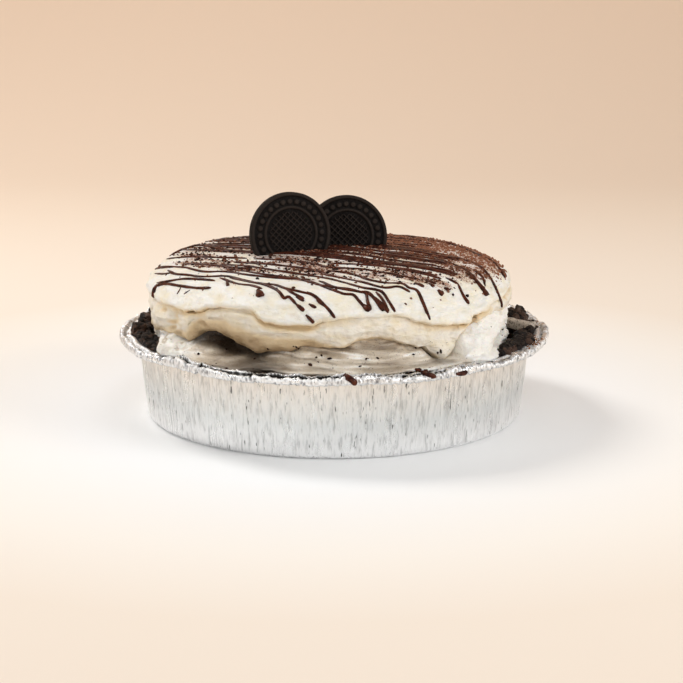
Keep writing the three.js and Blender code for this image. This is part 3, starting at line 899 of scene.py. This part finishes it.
RIM_DRIPS_IN_PHOTO = [
    ([(344, 374), (350, 379), (357, 384)], 3.2), ([(415, 369), (424, 373), (436, 377)], 2.6),
    ([(424, 370), (430, 372)], 2.4), ([(456, 374), (461, 373.6), (467, 372)], 2.8),
]
LINE_WIDTH = 1.8
LINE_STEP = 1.2
PIXEL_STEP = 1.2
DRIZZLE_FIRST, DRIZZLE_LAST, DRIZZLE_REACH = -20.0, 88, 93
ABOVE_THE_CREAM = 0.13


def tree_of(*pieces):
    vertices, faces = [], []
    for piece in pieces:
        first = len(vertices)
        vertices += [v.co for v in piece.data.vertices]
        faces += [[first + i for i in p.vertices] for p in piece.data.polygons]
    return BVHTree.FromPolygons(vertices, faces)


cream_tree = tree_of(cream)


def through(points, step):
    """Points every `step` along a smooth curve through the given ones."""
    points = [Vector(p) for p in points]
    ends = [2 * points[0] - points[1], *points, 2 * points[-1] - points[-2]]
    curve = []
    for a, b, c, d in zip(ends, ends[1:], ends[2:], ends[3:]):
        parts = max(1, round((c - b).length / step))
        for k in range(parts):
            t = k / parts
            curve.append(0.5 * (2 * b + (c - a) * t + (2 * a - 5 * b + 4 * c - d) * t * t
                                + (3 * b - a - 3 * c + d) * t**3))
    return [*curve, points[-1]]


def laid_from_photo(points, surface):
    """The places and normals on a surface that the photograph's pixels show."""
    rays = [photo_ray(u, v) for u, v in through(points, PIXEL_STEP)]
    hits = [surface.ray_cast(CAMERA_PLACE, ray) for ray in rays]
    return [(hit[0], hit[1]) for hit in hits if hit[0]]


def laid_from_above(x, y, surface=cream_tree, above=ABOVE_THE_CREAM):
    """The place and normal on a surface under a point, or None where it has none."""
    hit = surface.ray_cast(Vector((x * MM, y * MM, above)), Vector((0, 0, -1)))
    return (hit[0], hit[1]) if hit[0] else None


def new_beads(name):
    curve = bpy.data.curves.new(name, "CURVE")
    curve.dimensions = "3D"
    curve.bevel_depth = 1
    curve.bevel_resolution = 1
    curve.use_fill_caps = True
    return curve


def bead(curve, places, widths, sunk):
    """A bead of chocolate along (place, normal) points, sunk by a share of its radius."""
    if len(places) < 3:
        return
    spline = curve.splines.new("POLY")
    spline.points.add(len(places) - 1)
    for point, (place, normal), width in zip(spline.points, places, widths):
        radius = width / 2 * MM
        point.co = (*(place - normal * radius * sunk), 1)
        point.radius = radius


def tapered(count, width, seed, blob):
    """Widths along a line: uneven, thin at its start and swollen by `blob` at its end."""
    widths = []
    for i in range(count):
        t = i / max(1, count - 1)
        uneven = 1 + 0.3 * lumpy(i * 0.09, seed * 7.3, 0)
        end = min(ease(i, 0, 4), ease(count - 1 - i, -0.6, 2.5))
        widths.append(width * uneven * mix(1, blob, ease(t, 0.6, 1)) * mix(0.5, 1, end))
    return widths


def trace(curve, lines, surface, seed, blob, sunk):
    """Beads along lines of the photograph, each given as its pixels and its width."""
    for n, (line, width) in enumerate(lines):
        places = laid_from_photo(line, surface)
        bead(curve, places, tapered(len(places), width, seed + n, blob), sunk)


def as_mesh(curve):
    holder = placed(curve.name, curve)
    bpy.ops.object.select_all(action="DESELECT")
    holder.select_set(True)
    bpy.context.view_layer.objects.active = holder
    bpy.ops.object.convert(target="MESH")
    bpy.ops.object.shade_smooth()
    return bpy.context.object


drizzle_curve = new_beads("chocolate_drizzle")
trace(drizzle_curve, [(line, LINE_WIDTH) for line in LINES_IN_PHOTO], cream_tree, 0, 1.0, 0.1)
trace(drizzle_curve, DRIPS_IN_PHOTO, cream_tree, 40, 1.15, 0.2)

drizzle_random = random.Random(12)
turn = radians(DRIZZLE_TURN)
offset = DRIZZLE_FIRST
while offset < DRIZZLE_LAST:
    reach = sqrt(max(0, DRIZZLE_REACH**2 - offset**2))
    start = -reach * drizzle_random.uniform(0.8, 1.02)
    stop = reach * (drizzle_random.uniform(0.66, 0.84) - 0.3 * ease(offset, 20, 40))
    swing, phase = drizzle_random.uniform(0.5, 2.5), drizzle_random.uniform(0, 6)
    lean = drizzle_random.uniform(-0.05, 0.05)
    width, blob = drizzle_random.uniform(1.3, 2.2), drizzle_random.choice((1, 1, 1.5, 1.8))
    places = []
    for k in range(int((stop - start) / LINE_STEP)):
        s = start + k * LINE_STEP
        across = offset + lean * s + swing * sin(s / 34 + phase)
        x = s * cos(turn) - across * sin(turn)
        y = s * sin(turn) + across * cos(turn)
        place = laid_from_above(x, y)
        if place:
            places.append(place)
    bead(drizzle_curve, places, tapered(len(places), width, offset, blob), 0.15)
    offset += drizzle_random.uniform(2.2, 4.6) + 5 * ease(offset, 20, 50)

drizzle = as_mesh(drizzle_curve)

chocolate, tree, shader = material(
    "dark_chocolate", Roughness=0.4, Specular_IOR_Level=0.07, Coat_Weight=0.12,
    Coat_Roughness=0.03)
mottle = pattern(tree, 420, Detail=3)
brown = ramp(mottle, (0.35, (0.02, 0.0045, 0.0025)),
             (0.7, (0.11, 0.026, 0.011)))
feed(shader, "Base Color", brown)
bumped(shader, (mottle, 0.25))
finish_piece(drizzle, chocolate, "cream")

rim_tree = tree_of(tin, crust, filling)
rim_curve = new_beads("chocolate_on_rim")
trace(rim_curve, RIM_DRIPS_IN_PHOTO, rim_tree, 60, 1.2, 0.2)
finish_piece(as_mesh(rim_curve), chocolate, "cream")

# Biscuit crumbs and cocoa grains strewn over the cream. They lie in bands along the drizzle,
# thickest in the middle and at the back.

CRUMB_COUNT = 9000
CRUMB_REACH = 94
STRAY_SHARE = 0.03
FLANGE_LEVEL = 0.042


def strewn(name, count, size_range, place_at, seed, subdivisions=1, lightest=1):
    """Many small broken crumbs in one mesh, each an uneven lump made from an icosphere."""
    pick = random.Random(seed)
    bpy.ops.object.select_all(action="DESELECT")
    bpy.ops.mesh.primitive_ico_sphere_add(subdivisions=subdivisions, radius=1)
    lump = bpy.context.object
    corners = [v.co.copy() for v in lump.data.vertices]
    sides = [tuple(p.vertices) for p in lump.data.polygons]
    bpy.data.objects.remove(lump)
    vertices, faces, shades = [], [], []
    made = 0
    while made < count:
        place = place_at(pick)
        if not place:
            continue
        size = mix(*size_range, pick.random() ** 2) * MM / 2
        axis = Vector((pick.uniform(-1, 1), pick.uniform(-1, 1), pick.uniform(-1, 1)))
        spin = Matrix.Rotation(pick.uniform(0, 2 * pi), 3, axis)
        squeeze = (pick.uniform(0.7, 1.3), pick.uniform(0.6, 1), pick.uniform(0.45, 0.8))
        first = len(vertices)
        for corner in corners:
            rough = 1 + 0.5 * noise.noise(corner * 1.9 + Vector((made, 0, 0)))
            shaped = Vector([c * q * rough for c, q in zip(corner, squeeze)])
            vertices.append(place + spin @ shaped * size)
        faces += [tuple(first + i for i in side) for side in sides]
        shades += [pick.uniform(0, lightest)] * len(corners)
        made += 1
    mesh = bpy.data.meshes.new(name)
    mesh.from_pydata(vertices, [], faces)
    mesh.update()
    shade = mesh.attributes.new("shade", "FLOAT", "POINT")
    shade.data.foreach_set("value", shades)
    return placed(name, mesh)


def on_cream(pick):
    r, theta = CRUMB_REACH * sqrt(pick.random()), pick.uniform(0, 2 * pi)
    x, y = r * cos(theta) + CREAM_SHIFT_X, r * sin(theta)
    if pick.random() > STRAY_SHARE + cocoa_at(x, y, CREAM_TOP - 1.2) ** 1.3:
        return None
    place = laid_from_above(x, y)
    return place[0] if place else None


crumbs = strewn("cocoa_crumbs", CRUMB_COUNT, (0.5, 2.6), on_cream, 5)

biscuit_crumb, tree, shader = material("biscuit_crumb", Roughness=0.8, Specular_IOR_Level=0.12)
grain = pattern(tree, 1600, Detail=2)
spread = maths("MULTIPLY", grain, 0.4)
tone = maths("ADD", painted(tree, "shade"), spread)
brown = ramp(tone, (0.3, (0.014, 0.006, 0.004)), (0.8, (0.08, 0.028, 0.015)),
             (0.95, (0.21, 0.092, 0.054)))
brown = blended(tree, painted(tree, "dusted"), brown, (0.31, 0.13, 0.072))
feed(shader, "Base Color", brown)
bumped(shader, (grain, 0.2))
paint(crumbs, "dusted", lambda x, y, z: 0.75 * ease(x + 1.1 * y, 5, 65))
finish_piece(crumbs, biscuit_crumb, "crust")

LUMP_COUNT = 620
crust_tree = tree_of(crust)


def on_flange(surface, r, theta, above):
    """A place on the crust or the foil, where it isn't below the tin's flange."""
    place = laid_from_above(r * cos(theta), r * sin(theta), surface, above)
    return place[0] if place and place[0].z > FLANGE_LEVEL else None


def on_crust(pick):
    theta, r = pick.uniform(0, 2 * pi), pick.uniform(95, TIN_MOUTH + 4)
    if bump(theta, -90, 50) > 0.1 and pick.random() < 0.9:
        return None
    return on_flange(crust_tree, r, theta, 0.05)


SPECK_COUNT = 150
filling_tree = tree_of(filling, cream)


def in_filling(pick):
    theta, z = pick.uniform(-pi, pi), pick.uniform(44.5, 62)
    out = Vector((cos(theta), sin(theta), 0))
    hit = filling_tree.ray_cast(out * 0.13 + Vector((0, 0, z * MM)), -out)
    at_left = bump(theta, -155, 25)
    return hit[0] if hit[0] and pick.random() > ease(z, 50, 60) + at_left else None


specks = strewn("filling_specks", SPECK_COUNT, (0.4, 2.8), in_filling, 21, 1, 0.35)
finish_piece(specks, biscuit_crumb, "crust")

lumps = strewn("crust_lumps", LUMP_COUNT, (1.5, 7), on_crust, 8, 2)
finish_piece(lumps, dark_crumb, "crust")

# A slab of the crust's wall has broken at the right and stands a little higher, on edge. Its
# roughness has a seed, because Blender otherwise seeds noise_vector from the clock.
SLAB_FROM, SLAB_TO = (91, 8), (106, -9)
SLAB_THICK, SLAB_LOW, SLAB_HIGH, SLAB_BEVEL = 4, 43.6, 48.8, 0.7
SLAB_SEED = 1795561408
bpy.ops.object.select_all(action="DESELECT")
bpy.ops.mesh.primitive_cube_add(size=1)
slab = bpy.context.object
slab.name = slab.data.name = "crust_slab"
slab_long = dist(SLAB_FROM, SLAB_TO)
switch("EDIT")
size = (slab_long * MM, SLAB_THICK * MM, (SLAB_HIGH - SLAB_LOW) * MM)
bpy.ops.transform.resize(value=size, center_override=(0, 0, 0))
bpy.ops.mesh.bevel(offset=SLAB_BEVEL * MM, segments=3, affect="EDGES")
bpy.ops.mesh.subdivide(number_cuts=6)
switch("OBJECT")
slab_turn = atan2(SLAB_TO[1] - SLAB_FROM[1], SLAB_TO[0] - SLAB_FROM[0])
slab_middle = [(a + b) / 2 for a, b in zip((*SLAB_FROM, SLAB_LOW), (*SLAB_TO, SLAB_HIGH))]
slab_place = Matrix.Translation(Vector(slab_middle) * MM)
slab.data.transform(slab_place @ Matrix.Rotation(slab_turn, 4, "Z"))
noise.seed_set(SLAB_SEED)
for vertex in slab.data.vertices:
    small, large = (noise.noise_vector(vertex.co / (size * MM)) for size in (2.2, 7))
    vertex.co += (small * 0.7 + large) * MM
bpy.ops.object.shade_smooth()


def grainy(name, roughness, cells, depth, *stops, **settings):
    """A dull material whose colour and bump follow one fine grain."""
    look, tree, shader = material(name, Roughness=roughness, Specular_IOR_Level=0.2)
    grain = pattern(tree, cells, **settings)
    feed(shader, "Base Color", ramp(grain, *stops))
    bumped(shader, (grain, depth))
    return look


dusty_crumb = grainy(
    "dusty_crumb", 0.9, 800, 0.5, (0.34, (0.04, 0.028, 0.022)), (0.5, (0.52, 0.45, 0.38)),
    Detail=4, Roughness=0.7)
finish_piece(slab, dusty_crumb, "crust")

# Crumbs baked to a cinnamon brown lie on the foil at the right.
SPILT_CRUMBS = 90
SPILT_AT, SPILT_SPREAD = -19, 3.5


def on_rim(pick):
    theta = radians(pick.gauss(SPILT_AT, SPILT_SPREAD))
    return on_flange(rim_tree, pick.uniform(108, 113), theta, 0.06)


spilt = strewn("crumbs_on_rim", SPILT_CRUMBS, (0.5, 2), on_rim, 17)
cinnamon_crumb = grainy(
    "cinnamon_crumb", 0.8, 1200, 0.2, (0.4, (0.12, 0.04, 0.014)), (0.6, (0.32, 0.13, 0.05)),
    Detail=2)
finish_piece(spilt, cinnamon_crumb, "crust")

# The two wafers. Each is a thin dark biscuit baked in an embossed mould: a smooth raised edge, a
# ring of beads, a plain ring and a lattice in the middle. They stand pushed into the cream.

WAFER_RADIUS = 22.2
WAFER_THICKNESS = 4.6
WAFER_BEADS = 28
WAFER_RELIEF = 0.7
WAFER_RING, WAFER_BEAD_RING = 0.64, 0.78
LATTICE_PITCH = 3.4
WAFER_STEPS = 392
WAFER_FACE_RINGS = 82
WAFERS = [
    ("wafer_left", (-23.4, 0.6, 95.5), 20, 6),
    ("wafer_right", (6.6, 20, 90.8), 10, 9),
]


def wafer_relief(r, theta):
    """How far the mould leaves the face below the raised edge, at a place on the disc."""
    share = r / WAFER_RADIUS
    edge = ease(share, 0.9, 0.93)
    ring = ease(0.045 - abs(share - WAFER_RING), 0, 0.03)
    around = WAFER_BEADS * theta / (2 * pi)
    along = (around - round(around)) / WAFER_BEADS * 2 * pi * WAFER_BEAD_RING
    beads = ease(0.075 - hypot(along, share - WAFER_BEAD_RING), 0, 0.03)
    x, y = r * cos(theta), r * sin(theta)
    across, down = (abs(way / LATTICE_PITCH % 1 - 0.5) for way in (x + y, x - y))
    lattice = ease(max(across, down), 0.33, 0.42) * ease(-share, -0.55, -0.52)
    return WAFER_RELIEF * (min(1, max(edge, ring, beads, 0.8 * lattice)) - 1)


def wafer_profile(theta):
    half = WAFER_THICKNESS / 2
    back = [(0.1, -half), (WAFER_RADIUS * 0.6, -half), (WAFER_RADIUS * 0.97, -half)]
    side = [(WAFER_RADIUS, -half + 0.6), (WAFER_RADIUS, 0), (WAFER_RADIUS, half - 0.6)]
    side += [(WAFER_RADIUS - 0.15, half - 0.25), (WAFER_RADIUS - 0.5, half - 0.05)]
    face = []
    for i in range(WAFER_FACE_RINGS):
        r = mix(WAFER_RADIUS - 0.9, 0.1, i / (WAFER_FACE_RINGS - 1))
        worn = 0.06 * lumpy(r * cos(theta), r * sin(theta), 3)
        face.append((r, half + wafer_relief(r, theta) + worn * ease(r, 0.1, 3)))
    return back + side + face


wafer_look, tree, shader = material("dark_wafer", Specular_IOR_Level=0.1)
grain = pattern(tree, 1300, Detail=4, Roughness=0.7)
pores = pattern(tree, 320, Detail=3)
baked = ramp(grain, (0.35, (0.003, 0.002, 0.0016)),
             (0.65, (0.008, 0.0055, 0.0045)), (0.78, (0.03, 0.022, 0.018)))
# The raised relief is painted lighter: wear, and a painted highlight where the embossing catches
# the light.
worn_and_highlit_relief = maths("MULTIPLY", painted(tree, "raised"), 0.6)
baked = blended(tree, worn_and_highlit_relief, baked, (0.042, 0.031, 0.025))
feed(shader, "Base Color", baked)
matt = ramp(pores, (0.4, 0.5), (0.65, 0.75))
feed(shader, "Roughness", matt)
bumped(shader, (grain, 0.3), (pores, 0.3))

for name, middle, turn_degrees, lean_degrees in WAFERS:
    wafer = turned(name + "_embossed", WAFER_STEPS, wafer_profile)
    paint(wafer, "raised", lambda x, y, z: ease(z, WAFER_THICKNESS / 2 - WAFER_RELIEF,
                                                WAFER_THICKNESS / 2))
    stand = Matrix.Rotation(radians(turn_degrees), 4, "Z")
    stand @= Matrix.Rotation(radians(90 - lean_degrees), 4, "X")
    wafer.data.transform(Matrix.Translation(Vector(middle) * MM) @ stand)
    finish_piece(wafer, wafer_look, "wafer", name)

# The floor with the sweep behind it, and the soft lights: a key from the back left, a fill on
# each side in front, a weak one from above and the pale room all round.

SWEEP_BACK, SWEEP_WIDTH, SWEEP_RISE, SWEEP_BEND = 1.7, 7.0, 3.2, 0.9
ROOM_LIGHT = 0.42

bpy.ops.object.select_all(action="DESELECT")
bpy.ops.mesh.primitive_plane_add(size=SWEEP_WIDTH, location=(0, SWEEP_BACK - SWEEP_WIDTH / 2, 0))
sweep = bpy.context.object
sweep.name = "floor_sweep"
bpy.ops.object.transform_apply(location=True)
switch("EDIT")
bpy.ops.mesh.select_all(action="DESELECT")
switch("OBJECT")
for edge in sweep.data.edges:
    edge.select = all(sweep.data.vertices[i].co.y > SWEEP_BACK - 0.01 for i in edge.vertices)
switch("EDIT")
bpy.ops.mesh.select_mode(type="EDGE")
bpy.ops.mesh.extrude_region_move(TRANSFORM_OT_translate={"value": (0, 0, SWEEP_RISE)})
switch("OBJECT")
rounded = sweep.modifiers.new("bend", "BEVEL")
rounded.width, rounded.segments, rounded.limit_method = SWEEP_BEND, 24, "ANGLE"
bpy.ops.object.modifier_apply(modifier="bend")
bpy.ops.object.shade_smooth()
paper, tree, shader = material("sweep_paper", Roughness=0.9, Specular_IOR_Level=0.2)
place = tree.nodes.new("ShaderNodeTexCoord")
away = tree.nodes.new("ShaderNodeVectorMath")
away.operation = "LENGTH"
tree.links.new(place.outputs["Object"], away.inputs[0])
far = maths("MULTIPLY", away.outputs["Value"], 0.5)
# White near the pie, standing for a plate, then peach further away: the peach is the paper's own
# colour, and its deepening and darkening with distance is painted shade of the light falling off.
blend = ramp(far, (0.07, (0.96, 0.965, 0.965)), (0.12, (0.96, 0.91, 0.84)),
             (0.16, (0.92, 0.82, 0.71)), (0.35, (0.9, 0.76, 0.62)), (0.8, (0.86, 0.64, 0.47)))
feed(shader, "Base Color", blend)
sweep.data.materials.append(paper)


def soft_light(name, place, target, size, watts, colour):
    lamp = bpy.data.lights.new(name, "AREA")
    lamp.shape, lamp.size, lamp.energy, lamp.color = "DISK", size, watts, colour
    holder = placed(name, lamp)
    holder.location = place
    holder.rotation_euler = (Vector(target) - Vector(place)).to_track_quat("-Z", "Y").to_euler()


soft_light("key", (-0.85, 0.5, 1.1), (0, 0, 0.06), 0.5, 9, (1, 0.985, 0.965))
soft_light("fill_right", (1.45, -0.75, 0.6), (0, 0, 0.05), 1.1, 14, (1, 1, 1))
soft_light("fill_left", (-1.4, -0.9, 0.5), (0, 0, 0.05), 1.0, 6, (0.97, 0.985, 1))
soft_light("top", (0.25, -0.35, 1.5), (0, 0, 0.05), 1.0, 3.2, (1, 1, 1))

world = bpy.data.worlds.new("studio")
bpy.context.scene.world = world
world.use_nodes = True
room = world.node_tree.nodes["Background"]
room.inputs["Color"].default_value = (1, 0.98, 0.96, 1)
room.inputs["Strength"].default_value = ROOM_LIGHT
